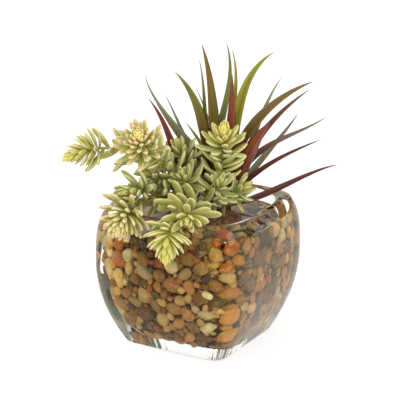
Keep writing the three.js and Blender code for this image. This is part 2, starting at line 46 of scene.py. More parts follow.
# ---- The CAD's driving dimensions ----
BOWL_HEIGHT = 120
BASE_HALF = 47.3
BELLY_HALF = 70
RIM_HALF = 61.6
BELLY_HEIGHT = 69
WALL = 5
FLOOR = 8
FLOOR_ROUND = 19
LIP_ROUND = 2.4
BASE_CHAMFER = 1.2
GAP = 0.3
BED_TOP = 103
PLANTING_TURN = math.radians(30.4)
PLUG = {"across": 2, "away": -2, "half_across": 34, "half_away": 27, "bottom": 82, "top": 111}
STEM_RADIUS = 1.6
PEG_DEPTH = 18
GOLDEN_ANGLE = math.radians(137.508)
ROOT_LEVEL = 109

SPRAYS = [
    # name, seed, root, handles, tip,
    # leaves on the stem and in the head, the head's length, a stem leaf's and a head leaf's, slimness
    ("sedum_far_left", 11, (-16, 2), ((-16, 4, 150), (-69, -8, 181)), (-105, -27, 165),
     22, 46, 26, 24, 20, 0.8),
    ("sedum_high_left", 12, (-8, -5), ((-14, -4, 154), (-48, -6, 156)), (-48, -46, 187),
     26, 56, 19, 24, 26, 0.7),
    ("sedum_upright", 13, (13, -10), ((12, -9, 134), (22, -2, 160)), (20, -21, 183),
     28, 34, 19, 23, 25, 0.9),
    ("sedum_open_rosette", 14, (2, -16), ((2, -18, 128), (-9, -42, 125)), (-9, -67, 126),
     10, 18, 8, 26, 31, 0.88),
    ("sedum_left_over_rim", 15, (-20, -7), ((-22, -9, 142), (-58, -31, 129)), (-63, -60, 117),
     20, 60, 19, 23, 27, 0.68),
    ("sedum_front_over_rim", 16, (-7, -15), ((-10, -20, 142), (-24, -62, 136)), (-26, -84, 102),
     12, 44, 18, 22, 23, 0.78),
    ("sedum_middle", 17, (-2, 4), ((-2, 4, 132), (-10, 3, 146)), (-16, 1, 163),
     22, 14, 12, 22, 23, 0.85),
    ("sedum_left_middle", 18, (-14, -2), ((-14, -4, 132), (-26, -10, 138)), (-41, -19, 147),
     22, 14, 12, 22, 23, 0.85),
    ("sedum_right_middle", 19, (9, -14), ((9, -15, 126), (14, -18, 130)), (17, -28, 142),
     14, 14, 10, 22, 22, 0.85),
    ("sedum_low_left", 20, (-14, -13), ((-15, -15, 130), (-36, -24, 140)), (-56, -42, 140),
     18, 20, 12, 24, 26, 0.85),
    ("sedum_back", 21, (-12, 12), ((-12, 13, 128), (-24, 24, 142)), (-30, 34, 146),
     14, 14, 11, 22, 22, 0.85),
    ("sedum_centre", 22, (-3, -8), ((-3, -10, 126), (-8, -16, 136)), (-13, -27, 148),
     16, 14, 10, 22, 22, 0.85),
    ("sedum_right", 23, (20, -8), ((20, -9, 122), (27, -12, 128)), (36, -18, 136),
     10, 12, 9, 22, 22, 0.85),
]
# How yellow, how pink at its tips, and how much painted shade darkens each spray (the inner ones most).
TINTS = {
    "sedum_far_left": (0.9, 0.4, 0.1),
    "sedum_high_left": (1.0, 0.75, 0.1),
    "sedum_upright": (1.0, 0.15, 0.2),
    "sedum_open_rosette": (0.6, 0.1, 0.15),
    "sedum_left_over_rim": (0.8, 0.8, 0.1),
    "sedum_front_over_rim": (1.0, 0.3, 0.0),
    "sedum_middle": (0.15, 0.15, 0.7),
    "sedum_left_middle": (0.15, 0.15, 0.6),
    "sedum_right_middle": (0.3, 0.1, 0.55),
    "sedum_low_left": (0.2, 0.15, 0.5),
    "sedum_back": (0.3, 0.3, 0.4),
    "sedum_centre": (0.2, 0.1, 0.6),
    "sedum_right": (0.3, 0.1, 0.5),
}

CROWN = {"across": 23, "away": 9, "bottom": 91, "level": 112, "radius": 4}
SPIKES = [
    # lower and upper handle, tip, turn, width, hue low, hue high, hue along the edges
    ((15, 12, 154), (-37, 19, 185), (-45, 30, 219), -40, 6, "grey_green", "grey_green", "dusky"),
    ((-26, 10, 136), (-17, 8, 175), (-42, 5, 206), -60, 8, "crimson", "crimson", "maroon"),
    ((6, 12, 144), (-17, 14, 168), (-35, 16, 198), -50, 6.5, "rust", "umber", "grey_green"),
    ((-4, 18, 140), (-12, 29, 170), (-29, 45, 199), -25, 5.5, "dusky", "grey_green", "grey_green"),
    ((3, 7, 146), (12, 7, 196), (-20, 10, 227), -60, 10, "rust", "olive", "umber"),
    ((-1, 14, 154), (9, 23, 197), (0, 38, 231), -15, 5.5, "dusky", "olive", "leaf_green"),
    ((18, 20, 145), (12, 35, 175), (-3, 55, 202), -5, 4.5, "grey_green", "dusky", "dusky"),
    ((10, 7, 157), (16, 9, 208), (2, 14, 250), -50, 9.5, "olive", "umber", "rust"),
    ((-5, 11, 158), (38, 15, 205), (22, 22, 250), 0, 7, "leaf_green", "olive", "dusky"),
    ((14, 11, 155), (40, 21, 205), (27, 40, 240), 0, 6, "golden", "golden", "leaf_green"),
    ((24, 9, 151), (28, 6, 189), (27, 0, 228), 0, 9.5, "rust", "rust", "maroon"),
    ((29, 11, 153), (24, 13, 221), (62, 16, 242), 50, 9.5, "golden", "golden", "leaf_green"),
    ((41, 13, 150), (49, 24, 190), (70, 45, 214), 25, 6, "grey_green", "grey_green", "dusky"),
    ((19, 11, 163), (57, 15, 204), (95, 20, 216), 45, 9, "olive", "umber", "dusky"),
    ((35, 10, 158), (59, 7, 190), (91, 0, 215), 60, 7, "rust", "maroon", "dusky"),
    ((42, 16, 141), (69, 29, 163), (84, 48, 181), 30, 6, "grey_green", "dusky", "maroon"),
    ((37, 13, 169), (76, 13, 166), (106, 10, 189), 50, 6, "maroon", "dusky", "dusky"),
    ((41, 12, 144), (80, 6, 161), (100, -10, 175), 55, 5, "maroon", "maroon", "crimson"),
    ((57, 15, 115), (90, 18, 140), (117, 20, 144), 45, 6, "maroon", "maroon", "dusky"),
    ((33, 7, 140), (43, 0, 172), (58, -12, 190), -50, 13, "maroon", "rust", "maroon"),
    ((33, 9, 136), (28, 7, 161), (41, 2, 184), -50, 9, "maroon", "rust", "rust"),
    ((25, 25, 138), (24, 45, 160), (20, 68, 178), 0, 6.5, "umber", "olive", "leaf_green"),
    ((35, 26, 134), (47, 45, 152), (60, 66, 168), 10, 6.5, "rust", "umber", "dusky"),
    ((16, 27, 135), (5, 43, 154), (-12, 60, 170), -10, 6.5, "umber", "olive", "leaf_green"),
]
HUES = {
    "crimson": (112, 22, 32),
    "rust": (124, 50, 26),
    "maroon": (92, 30, 32),
    "umber": (114, 84, 26),
    "olive": (104, 108, 30),
    "golden": (136, 130, 24),
    "leaf_green": (132, 150, 78),
    "grey_green": (122, 132, 96),
    "dusky": (120, 100, 88),
}
SPIKE_THICKNESS = 1.5
CHANNEL = 0.55
BLACK, WHITE = (0, 0, 0, 1), (1, 1, 1, 1)


# ---- Small helpers ----
def seeded(seed):
    state = [seed]

    def draw(low, high):
        state[0] = (state[0] * 16807) % 2147483647
        return low + ((high - low) * state[0]) / 2147483647

    return draw


def lerp(a, b, t):
    return a + (b - a) * t


def clamp(value, low=0.0, high=1.0):
    return max(low, min(high, value))


def vec(*parts):
    return np.array(parts, float)


def unit(v):
    return v / np.linalg.norm(v)


def rotated(v, axis, angle):
    c, s = math.cos(angle), math.sin(angle)
    return v * c + np.cross(axis, v) * s + axis * np.dot(axis, v) * (1 - c)


def planting_to_bowl(points):
    c, s = math.cos(PLANTING_TURN), math.sin(PLANTING_TURN)
    across, away, up = np.asarray(points, float).T
    return np.stack([across * c - away * s, across * s + away * c, up], axis=1)


def circle(middle, radius, z, count):
    turns = [2 * math.pi * i / count for i in range(count)]
    return [(middle[0] + radius * math.cos(turn), middle[1] + radius * math.sin(turn), z) for turn in turns]


class Shape:
    """Points, faces and colour attributes for a mesh in the making."""

    def __init__(self):
        self.points, self.faces, self.tints, self.marks, self.edges = [], [], [], [], []

    def skin(self, rings, start, end, tints, start_tint, end_tint, mark=BLACK):
        """Closes a stack of rings, lowest first, with a point at either end."""
        first = len(self.points)
        count = len(rings[0])
        self.points.append(start)
        self.tints.append(start_tint)
        for ring, tint in zip(rings, tints):
            self.points.extend(ring)
            self.tints.extend(tint)
        self.points.append(end)
        self.tints.append(end_tint)
        self.marks.extend([mark] * (len(rings) * count + 2))
        last = len(self.points) - 1
        at = lambda r, i: first + 1 + r * count + i % count
        for i in range(count):
            self.faces.append((first, at(0, i + 1), at(0, i)))
            self.faces.append((at(len(rings) - 1, i), at(len(rings) - 1, i + 1), last))
            for r in range(len(rings) - 1):
                self.faces.append((at(r, i), at(r, i + 1), at(r + 1, i + 1), at(r + 1, i)))

    def plain_skin(self, rings, start, end):
        self.skin(rings, start, end, [[BLACK] * len(ring) for ring in rings], BLACK, BLACK)

    def object(self, name, material, turned=True, others=()):
        """The mesh object. Each of others is a material, and the test of a face's corners that it goes by."""
        points = planting_to_bowl(self.points) if turned else np.asarray(self.points, float)
        mesh = bpy.data.meshes.new(name)
        mesh.from_pydata((points * MM).tolist(), [], self.faces)
        for label, values in (("tint", self.tints), ("mark", self.marks), ("edge", self.edges)):
            if values:
                attribute = mesh.color_attributes.new(label, "FLOAT_COLOR", "POINT")
                attribute.data.foreach_set("color", np.asarray(values, np.float32).ravel())
        mesh.polygons.foreach_set("use_smooth", [True] * len(mesh.polygons))
        mesh.materials.append(material)
        for other, _ in others:
            mesh.materials.append(other)
        tests = list(enumerate((test for _, test in others), start=1))
        slot_of = lambda corners: next((slot for slot, test in tests if test(corners)), 0)
        if others:
            mesh.polygons.foreach_set("material_index", [slot_of(points[list(face)]) for face in self.faces])
        mesh.update()
        made = bpy.data.objects.new(name, mesh)
        bpy.context.scene.collection.objects.link(made)
        return made


# ---- The bowl's form ----
def outer_half(z):
    if z < BELLY_HEIGHT:
        return lerp(BELLY_HALF, BASE_HALF, ((BELLY_HEIGHT - z) / BELLY_HEIGHT) ** 1.83)
    return lerp(BELLY_HALF, RIM_HALF, ((z - BELLY_HEIGHT) / (BOWL_HEIGHT - BELLY_HEIGHT)) ** 3.8)


def outer_squareness(z):
    return lerp(8.7, 5.9, min(1, z / (0.45 * BOWL_HEIGHT)) ** 0.7)


def inner_squareness(z):
    return lerp(2.3, 2.95, min(1, z / (0.75 * BOWL_HEIGHT)))


def inner_half(z):
    below = max(0, FLOOR + FLOOR_ROUND - z) / FLOOR_ROUND
    tuck = FLOOR_ROUND * (1 - math.sqrt(max(0, 1 - below * below)))
    return outer_half(z) - WALL - tuck


def reach_of(half, squareness, turn):
    total = abs(math.cos(turn)) ** squareness + abs(math.sin(turn)) ** squareness
    return half / total ** (1 / squareness)


# ---- What is in the way, as in the CAD ----
CLEARANCE = 0.5
taken = {"owner": [], "point": [], "radius": []}
taken_arrays = {}


def claim(owner, point, radius):
    taken["owner"].append(owner)
    taken["point"].append(point)
    taken["radius"].append(radius)


def freeze_taken(owner):
    owners = np.array(taken["owner"])
    others = owners != owner
    taken_arrays["point"] = np.array(taken["point"])[others]
    taken_arrays["radius"] = np.array(taken["radius"])[others]


def hits_bowl(point, radius):
    room = radius + CLEARANCE
    if point[2] > BOWL_HEIGHT + room:
        return False
    turn = math.atan2(point[1], point[0]) + PLANTING_TURN
    z = min(point[2], BOWL_HEIGHT)
    reach = math.hypot(point[0], point[1])
    outside = reach > reach_of(outer_half(z), outer_squareness(z), turn) + 1.3 * room
    inside = reach < reach_of(inner_half(z), inner_squareness(z), turn) - 1.3 * room
    bed_clear = point[2] > PLUG["top"] + 1 + room
    return not (outside or (inside and bed_clear))


def is_free(balls):
    for point, radius in balls:
        if hits_bowl(point, radius):
            return False
        gaps = np.linalg.norm(taken_arrays["point"] - point, axis=1) - taken_arrays["radius"]
        if (gaps <= radius + CLEARANCE).any():
            return False
    return True


# ---- Curves ----
class Cubic:
    def __init__(self, a, b, c, d):
        self.parts = [np.asarray(p, float) for p in (a, b, c, d)]

    def point(self, t):
        k = 1 - t
        a, b, c, d = self.parts
        return k * k * k * a + 3 * k * k * t * b + 3 * k * t * t * c + t * t * t * d

    def tangent(self, t):
        return unit(self.point(min(1, t + 1e-4)) - self.point(max(0, t - 1e-4)))

    def length(self):
        points = [self.point(i / 200) for i in range(201)]
        return sum(np.linalg.norm(b - a) for a, b in zip(points, points[1:]))


# ---- Sedum: the CAD's rule for every leaf ----
def stem_of(spray):
    root, handles, tip = spray[2:5]
    start = vec(*root, ROOT_LEVEL)
    curve = Cubic(start, *handles, tip)
    sideways = unit(np.cross(vec(0, 0, 1), np.asarray(tip) - start))
    return {"curve": curve, "sideways": sideways, "length": curve.length()}


def frame_at(stem, share):
    along = stem["curve"].tangent(share)
    up = unit(np.cross(stem["sideways"], along))
    return stem["curve"].point(share), along, up, unit(np.cross(along, up))


def leaf_axis(stem, share, turn, lean, length):
    at, along, up, side = frame_at(stem, share)
    outward = up * math.cos(turn) + side * math.sin(turn)
    aim = lambda angle: along * math.cos(angle) + outward * math.sin(angle)
    bend = at + aim(lean) * length * 0.55
    tip = bend + aim(lean - 0.3) * length * 0.45
    return {"root": at, "bend": bend, "tip": tip, "face": aim(lean - math.pi / 2)}


def leaf_point(leaf, share):
    first = lerp(leaf["root"], leaf["bend"], share)
    return lerp(first, lerp(leaf["bend"], leaf["tip"], share), share)


def leaf_balls(leaf):
    shares = ((0.35, 0.42), (0.55, 0.42), (0.75, 0.42), (0.95, 0.2))
    return [(leaf_point(leaf, share), leaf["width"] * size) for share, size in shares]


BLUNT_FROM = 0.73  # a head of slimmer leaves than this has blunt ones
FIRST_LEAF = 9  # how far up its stem the lowest leaf is
LEAF_TRIES = [(swing, scale) for scale in (1, 0.8, 0.62, 0.45) for swing in (0, 0.4, -0.4, 0.8, -0.8)]


def leaves_of(spray, stem):
    name, seed = spray[:2]
    stem_leaves, head_leaves, head_length, leaf_size, head_leaf, slimness = spray[5:]
    draw = seeded(seed)
    freeze_taken(name)
    leaves = []
    head_start = 1 - head_length / stem["length"]
    first_share = FIRST_LEAF / stem["length"]
    for i in range(stem_leaves + head_leaves):
        in_head = i >= stem_leaves
        climb = (i - stem_leaves) / (head_leaves - 1) if in_head else i / stem_leaves
        share = lerp(head_start, 0.985, climb) if in_head else lerp(first_share, head_start, climb)
        lean = lerp(1.5, 0.1, climb**0.85) if in_head else draw(0.85, 1.2)
        size = head_leaf * lerp(1, 0.5, climb) if in_head else leaf_size * draw(0.85, 1.1)
        start = i * GOLDEN_ANGLE + draw(-0.2, 0.2)
        for swing, scale in LEAF_TRIES:
            leaf = leaf_axis(stem, share, start + swing, lean, size * scale)
            leaf["width"] = (2.4 + 0.17 * size * scale) * (slimness if in_head else 1)
            leaf.update(in_head=in_head, blunt=in_head and slimness < BLUNT_FROM, climb=climb)
            if is_free(leaf_balls(leaf)):
                leaves.append(leaf)
                break
    for leaf in leaves:
        for point, radius in leaf_balls(leaf):
            claim(name, point, radius)
    return leaves


# ---- Spiky rosette: the CAD's blades ----
def spike_curve(spike):
    crown = vec(CROWN["across"], CROWN["away"], CROWN["level"])
    outward = vec(*spike[2]) - crown
    outward[2] = 0
    outward = unit(outward)
    root = crown + outward * 0.3 * CROWN["radius"]
    return Cubic(root, *spike[:3]), unit(np.cross(vec(0, 0, 1), outward))


def spike_frame(curve, side, turn, share):
    along = curve.tangent(share)
    face = rotated(unit(np.cross(along, side)), along, math.radians(turn))
    return curve.point(share), face, np.cross(face, along)


def spike_width(spike, share):
    width = spike[4]
    hold = clamp(0.05 * width + 0.1, 0.3, 0.6)
    return width * (0.5 + 0.5 * min(1, share / 0.2)) * (1 - max(0, share - hold) / (1 - hold)) ** 0.8


def claim_spike(spike):
    curve, side = spike_curve(spike)
    for i in range(1, 41):
        at, face, across = spike_frame(curve, side, spike[3], i / 40)
        half = spike_width(spike, i / 40) / 2
        for offset in (-0.65, 0, 0.65) if half > 2 else (0,):
            point = at + across * offset * half - face * CHANNEL * half * (1 - abs(offset))
            claim("spiky_rosette", point, max(0.9, 0.5 * half))


# ---- Materials ----
class Graph:
    """The nodes of one material or world, with the few kinds that this scene puts together."""

    def __init__(self, tree):
        self.nodes, self.links = tree.nodes, tree.links

    def feed(self, socket, value):
        if isinstance(value, bpy.types.NodeSocket):
            self.links.new(value, socket)
        else:
            socket.default_value = value

    def mix(self, factor, a, b):
        node = self.nodes.new("ShaderNodeMix")
        node.data_type = "RGBA"
        for index, value in ((0, factor), (6, a), (7, b)):
            self.feed(node.inputs[index], value)
        return node.outputs[2]

    def math(self, operation, *values):
        node = self.nodes.new("ShaderNodeMath")
        node.operation = operation
        for socket, value in zip(node.inputs, values):
            self.feed(socket, value)
        return node.outputs[0]

    def glaze(self, color, cover, strength, hue):
        """Lays a hue over a colour, where cover says, and as strongly as strength says."""
        return self.mix(self.math("MULTIPLY", cover, strength), color, hue)

    def ramp(self, factor, *stops):
        node = self.nodes.new("ShaderNodeValToRGB")
        elements = node.color_ramp.elements
        while len(elements) < len(stops):
            elements.new(0.5)
        for element, (place, color) in zip(elements, stops):
            element.position = place
            element.color = color
        self.feed(node.inputs[0], factor)
        return node.outputs[0]

    def rise(self, factor, start, full):
        return self.ramp(factor, (start, BLACK), (full, WHITE))

    def fall(self, factor, start, none):
        return self.ramp(factor, (start, WHITE), (none, BLACK))

    def place(self):
        return self.nodes.new("ShaderNodeTexCoord").outputs["Object"]

    def noise(self, scale, detail=3.0, roughness=0.6, vector=None):
        node = self.nodes.new("ShaderNodeTexNoise")
        for name, value in (("Scale", scale), ("Detail", detail), ("Roughness", roughness)):
            node.inputs[name].default_value = value
        self.feed(node.inputs["Vector"], vector or self.place())
        return node.outputs["Fac"]

    def color_of(self, label):
        node = self.nodes.new("ShaderNodeAttribute")
        node.attribute_name = label
        return node.outputs["Color"]

    def channels(self, color):
        split = self.nodes.new("ShaderNodeSeparateColor")
        self.feed(split.inputs[0], color)
        return split.outputs[0], split.outputs[1], split.outputs[2]

    def bump(self, shader, height, strength, distance):
        node = self.nodes.new("ShaderNodeBump")
        for name, value in (("Strength", strength), ("Distance", distance), ("Height", height)):
            self.feed(node.inputs[name], value)
        self.feed(shader.inputs["Normal"], node.outputs[0])


def material(name, looks):
    """A material, its graph and its shader, whose own sockets hold the looks that are the same all over."""
    made = bpy.data.materials.new(name)
    made.use_nodes = True
    shader = made.node_tree.nodes["Principled BSDF"]
    for label, value in looks.items():
        shader.inputs[label].default_value = value
    return made, Graph(made.node_tree), shader


def srgb(r, g, b):
    linear = [((c / 255 + 0.055) / 1.055) ** 2.4 if c > 10 else c / 255 / 12.92 for c in (r, g, b)]
    return (*linear, 1.0)


def make_glass(name, color, ior, gloss):
    looks = {"Base Color": color, "Transmission Weight": 1.0, "Roughness": 0.0}
    return material(name, looks | {"IOR": ior, "Specular Tint": gloss})[0]


FAINT_GREEN = (0.955, 0.975, 0.955, 1)
glass = make_glass("glass", FAINT_GREEN, 1.5, gloss=(0.14, 0.13, 0.12, 1))
# A copy of the glass with a stronger, warmer reflection, a painted sheen: the lip, and the two faces that
# look along X, throw back more of the studio.
painted_sheen_glass = make_glass("painted_sheen_glass", FAINT_GREEN, 1.5, gloss=(1, 0.8, 0.5, 1))
resin = make_glass("resin", (0.99, 0.98, 0.95, 1), 1.3, gloss=(0.4, 0.36, 0.28, 1))
# Where the resin wets the glass the two have one index, so light goes straight on there.
wetted = make_glass("wetted", WHITE, 1.0, gloss=(0.14, 0.13, 0.12, 1))


def make_leaf_material():
    # tint: share along the leaf, nearness to its rim, chance. mark: yellow, pink, painted shade.
    made, graph, shader = material("sedum_leaf", {
        "Roughness": 0.6, "Specular IOR Level": 0.3, "Sheen Weight": 0.06,
        "Subsurface Weight": 0.15, "Subsurface Scale": 0.002,
    })
    along, rim, chance = graph.channels(graph.color_of("tint"))
    yellow, pink, dark = graph.channels(graph.color_of("mark"))
    color = graph.mix(yellow, srgb(138, 142, 62), srgb(196, 190, 58))
    color = graph.glaze(color, chance, 0.5, srgb(172, 168, 84))
    # Painted shade: leaves deep in the bush, and down the stems, are darkened towards this green.
    color = graph.mix(dark, color, srgb(108, 111, 54))
    blotches = graph.rise(graph.noise(300, 4), 0.4, 0.7)
    color = graph.glaze(color, blotches, 0.3, srgb(208, 208, 136))
    # Painted shade: each leaf darkens towards its root, where it sits in among the others.
    color = graph.glaze(color, graph.fall(along, 0.1, 0.5), 0.3, srgb(96, 100, 36))
    # A pale powder lies over each leaf, more so towards its rim and tip.
    powder = graph.noise(900, 2)
    upper = graph.ramp(along, (0.2, (0.25, 0.25, 0.25, 1)), (0.7, WHITE))
    frost = graph.math("MULTIPLY", graph.rise(rim, 0.4, 1.0), graph.math("ADD", powder, 0.1))
    color = graph.glaze(color, frost, upper, srgb(220, 216, 146))
    # The heart of a head is yellow: its leaves' roots, and the whole of the innermost ones.
    heart = graph.math("MULTIPLY", graph.math("POWER", yellow, 4), 0.8)
    core = graph.fall(graph.math("SUBTRACT", along, graph.math("ADD", heart, 0.15)), 0.2, 0.65)
    color = graph.glaze(color, core, graph.math("POWER", yellow, 1.5), srgb(222, 202, 44))
    line = graph.math("MULTIPLY", graph.rise(rim, 0.86, 0.97), powder)
    color = graph.glaze(color, line, upper, srgb(238, 232, 180))
    grain = graph.rise(graph.noise(1400, 3), 0.5, 0.66)
    color = graph.glaze(color, grain, 0.24, srgb(232, 230, 186))
    color = graph.glaze(color, graph.rise(along, 0.7, 0.96), pink, srgb(226, 198, 160))
    graph.feed(shader.inputs["Base Color"], color)
    graph.bump(shader, powder, 0.35, 0.0004)
    return made


def make_spike_material():
    # tint: the hue here. edge: the hue of the blade's edges. mark: share along, share across, chance.
    made, graph, shader = material("spiky_leaf", {"Roughness": 0.4, "Specular IOR Level": 0.3})
    along, across, chance = graph.channels(graph.color_of("mark"))
    stretched = graph.nodes.new("ShaderNodeCombineXYZ")
    for socket, share, scale in zip(stretched.inputs, (along, across, chance), (2.5, 16.0, 40.0)):
        graph.feed(socket, graph.math("MULTIPLY", share, scale))
    streak = graph.noise(1.0, 4, 0.65, stretched.outputs[0])
    color = graph.glaze(graph.color_of("tint"), graph.fall(streak, 0.3, 0.5), 0.5, srgb(60, 44, 12))
    color = graph.glaze(color, graph.rise(streak, 0.5, 0.75), 0.35, srgb(176, 160, 90))
    # The blade darkens towards its keel and takes another hue along its two edges.
    keel = graph.ramp(across, (0.3, BLACK), (0.5, WHITE), (0.7, BLACK))
    color = graph.glaze(color, keel, 0.3, srgb(44, 40, 10))
    edges = graph.ramp(across, (0.0, WHITE), (0.16, BLACK), (0.8, BLACK), (0.94, WHITE))
    color = graph.glaze(color, edges, 0.7, graph.color_of("edge"))
    graph.feed(shader.inputs["Base Color"], color)
    graph.bump(shader, streak, 0.25, 0.0004)
    return made


def make_pebble_material():
    # tint: the pebble's own colour. mark: chance, how mottled and how banded it is.
    made, graph, shader = material("pebbles", {
        "Roughness": 0.3, "Specular IOR Level": 0.08,
        "Subsurface Weight": 0.25, "Subsurface Radius": (1.0, 0.55, 0.25), "Subsurface Scale": 0.004,
    })
    chance, mottle, band = graph.channels(graph.color_of("mark"))
    shifted = graph.nodes.new("ShaderNodeVectorMath")
    shifted.operation = "ADD"
    graph.feed(shifted.inputs[0], graph.place())
    graph.feed(shifted.inputs[1], chance)
    broad = graph.noise(150, 4, 0.65, shifted.outputs[0])
    fine = graph.noise(800, 3, 0.6, shifted.outputs[0])
    color = graph.glaze(graph.color_of("tint"), graph.rise(broad, 0.35, 0.65), mottle, srgb(122, 78, 34))
    veins = graph.ramp(broad, (0.47, BLACK), (0.5, WHITE), (0.53, BLACK))
    color = graph.glaze(color, veins, band, srgb(236, 204, 138))
    color = graph.glaze(color, graph.rise(fine, 0.56, 0.7), 0.35, srgb(232, 194, 124))
    color = graph.glaze(color, graph.fall(fine, 0.3, 0.42), 0.45, srgb(96, 62, 28))
    graph.feed(shader.inputs["Base Color"], color)
    graph.bump(shader, fine, 0.15, 0.0003)
    return made


def make_shade_stones_material():
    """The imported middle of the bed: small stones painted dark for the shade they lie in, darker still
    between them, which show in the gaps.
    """
    made, graph, shader = material("shade_stones", {"Roughness": 0.6, "Specular IOR Level": 0.08})
    cells = graph.nodes.new("ShaderNodeTexVoronoi")
    cells.inputs["Scale"].default_value = 270
    graph.feed(cells.inputs["Vector"], graph.place())
    stone = graph.ramp(
        graph.channels(cells.outputs["Color"])[0],
        (0.0, srgb(82, 54, 26)), (0.3, srgb(150, 102, 50)), (0.55, srgb(112, 88, 46)),
        (0.75, srgb(190, 130, 58)), (1.0, srgb(214, 176, 106)),
    )
    # Painted shade: the gaps between the stones go darker still.
    gap_shade = graph.rise(cells.outputs["Distance"], 0.35, 0.7)
    graph.feed(shader.inputs["Base Color"], graph.mix(gap_shade, stone, srgb(56, 36, 18)))
    return made


def make_soil_material():
    made, graph, shader = material("soil", {"Roughness": 0.85})
    grain = graph.noise(320, 6, 0.7)
    color = graph.ramp(grain, (0.32, srgb(44, 26, 14)), (0.5, srgb(104, 66, 36)), (0.66, srgb(168, 124, 78)))
    graph.feed(shader.inputs["Base Color"], color)
    graph.bump(shader, grain, 0.9, 0.0015)
    return made


leaf_material = make_leaf_material()
spike_material = make_spike_material()
pebble_material = make_pebble_material()
shade_stones_material = make_shade_stones_material()
soil_material = make_soil_material()


def place(piece, slot, *nodes):
    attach(piece, "root")
    if nodes:
        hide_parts(*nodes)
    return piece


# ---- Glass bowl ----
RESIN_TOP = BED_TOP + 2.5
RESIN_GAP = 0.25
RIPPLE = 0.8  # how deep the foot's ripples are, and how high up they fade out
RIPPLE_TOP = 28
RIPPLES = 84
RIPPLED_CORNER = 0.45  # how far round from a corner they reach, as a cosine
LIP_SHINE = 111  # above this height the glass throws back more
ARC_STEPS = 12


def under_resin(corners):
    """True for a face of the inner wall that the resin wets."""
    x, y, z = corners.mean(axis=0)
    reach = reach_of(inner_half(clamp(z, FLOOR, BOWL_HEIGHT)), inner_squareness(z), math.atan2(y, x))
    return z < RESIN_TOP and z > FLOOR - 0.1 and math.hypot(x, y) < reach + 0.2


def shines(corners):
    """True for a face that takes the painted sheen: of the lip, or of the outer wall on either side that
    looks along X.
    """
    x, y, z = corners.mean(axis=0)
    if z > LIP_SHINE:
        return True
    outer = math.hypot(x, y) > reach_of(outer_half(z), outer_squareness(z), math.atan2(y, x)) - 1
    return outer and abs(x) > abs(y)


def soft_ring(half, squareness, z, count):
    ring = []
    for i in range(count):
        turn = 2 * math.pi * i / count
        reach = reach_of(half, squareness, turn)
        ring.append((reach * math.cos(turn), reach * math.sin(turn), z))
    return ring


def rippled(ring, depth):
    """Faint upright ripples in the corners, which streak the light in the glass foot."""
    out = []
    for x, y, z in ring:
        turn = math.atan2(y, x)
        corner = max(0, 1 - abs(math.cos(2 * turn)) / RIPPLED_CORNER)
        wave = math.sin(RIPPLES * turn + 3 * math.sin(7 * turn))
        push = 1 + depth * corner * wave / math.hypot(x, y)
        out.append((x * push, y * push, z))
    return out


def outer_ring(z, count, inset=0.0):
    return soft_ring(outer_half(z) - inset, outer_squareness(z), z, count)


def inner_ring(z, count, inset=0.0):
    return soft_ring(inner_half(z) - inset, inner_squareness(z), z, count)


def build_bowl():
    shape = Shape()
    count, wall_steps, foot_steps = 384, 46, 5
    rings = []
    for i in range(1, foot_steps + 1):
        angle = math.pi / 2 * i / foot_steps
        z = BASE_CHAMFER * (1 - math.cos(angle))
        rings.append(rippled(outer_ring(z, count, BASE_CHAMFER * (1 - math.sin(angle))), RIPPLE))
    lip_foot = BOWL_HEIGHT - LIP_ROUND
    for i in range(1, wall_steps + 1):
        z = lerp(BASE_CHAMFER, lip_foot, i / wall_steps)
        rings.append(rippled(outer_ring(z, count), RIPPLE * clamp(1 - z / RIPPLE_TOP)))
    for i in range(1, ARC_STEPS):
        angle = math.pi * i / ARC_STEPS
        z = lip_foot + LIP_ROUND * math.sin(angle)
        share = (1 - math.cos(angle)) / 2
        half = lerp(outer_half(z), inner_half(z), share)
        rings.append(soft_ring(half, lerp(outer_squareness(z), inner_squareness(z), share), z, count))
    bare = [lip_foot, 115, 112, 109, 107, RESIN_TOP]
    wet = [lerp(RESIN_TOP, FLOOR + FLOOR_ROUND, i / wall_steps) for i in range(1, wall_steps + 1)]
    turns = [math.pi / 2 * i / ARC_STEPS for i in range(1, ARC_STEPS)]
    floor = [FLOOR + FLOOR_ROUND * (1 - math.sin(turn)) for turn in turns]
    rings.extend(inner_ring(z, count) for z in bare + wet + floor)
    shape.plain_skin(rings, (0, 0, 0), (0, 0, FLOOR))
    others = ((wetted, under_resin), (painted_sheen_glass, shines))
    return shape.object("bowl_glass", glass, turned=False, others=others)


place(build_bowl(), "glass", "glass_bowl")


# ---- Pebbles, thrown in one by one: against the wall, behind that layer, and on top ----
PEBBLE_COLORS = [
    # share of the mix, sRGB
    (0.22, (204, 148, 72)), (0.18, (234, 192, 114)), (0.07, (198, 104, 44)), (0.1, (212, 144, 68)),
    (0.17, (146, 104, 48)), (0.11, (122, 98, 50)), (0.03, (82, 72, 56)), (0.05, (202, 130, 74)),
    (0.07, (250, 220, 152)),
]
# A dark brown for the core, painted shade behind the pebbles.
DEEP_BROWN = (92, 58, 22)
# Amber pebbles lie together in the front corner, just under the surface, and down the left one.
AMBER = ((0.4, (214, 106, 24)), (0.4, (232, 156, 34)), (0.2, (238, 190, 90)))
GOLDEN = ((0.35, (228, 162, 66)), (0.35, (236, 190, 104)), (0.1, (208, 120, 50)), (0.2, (246, 214, 144)))
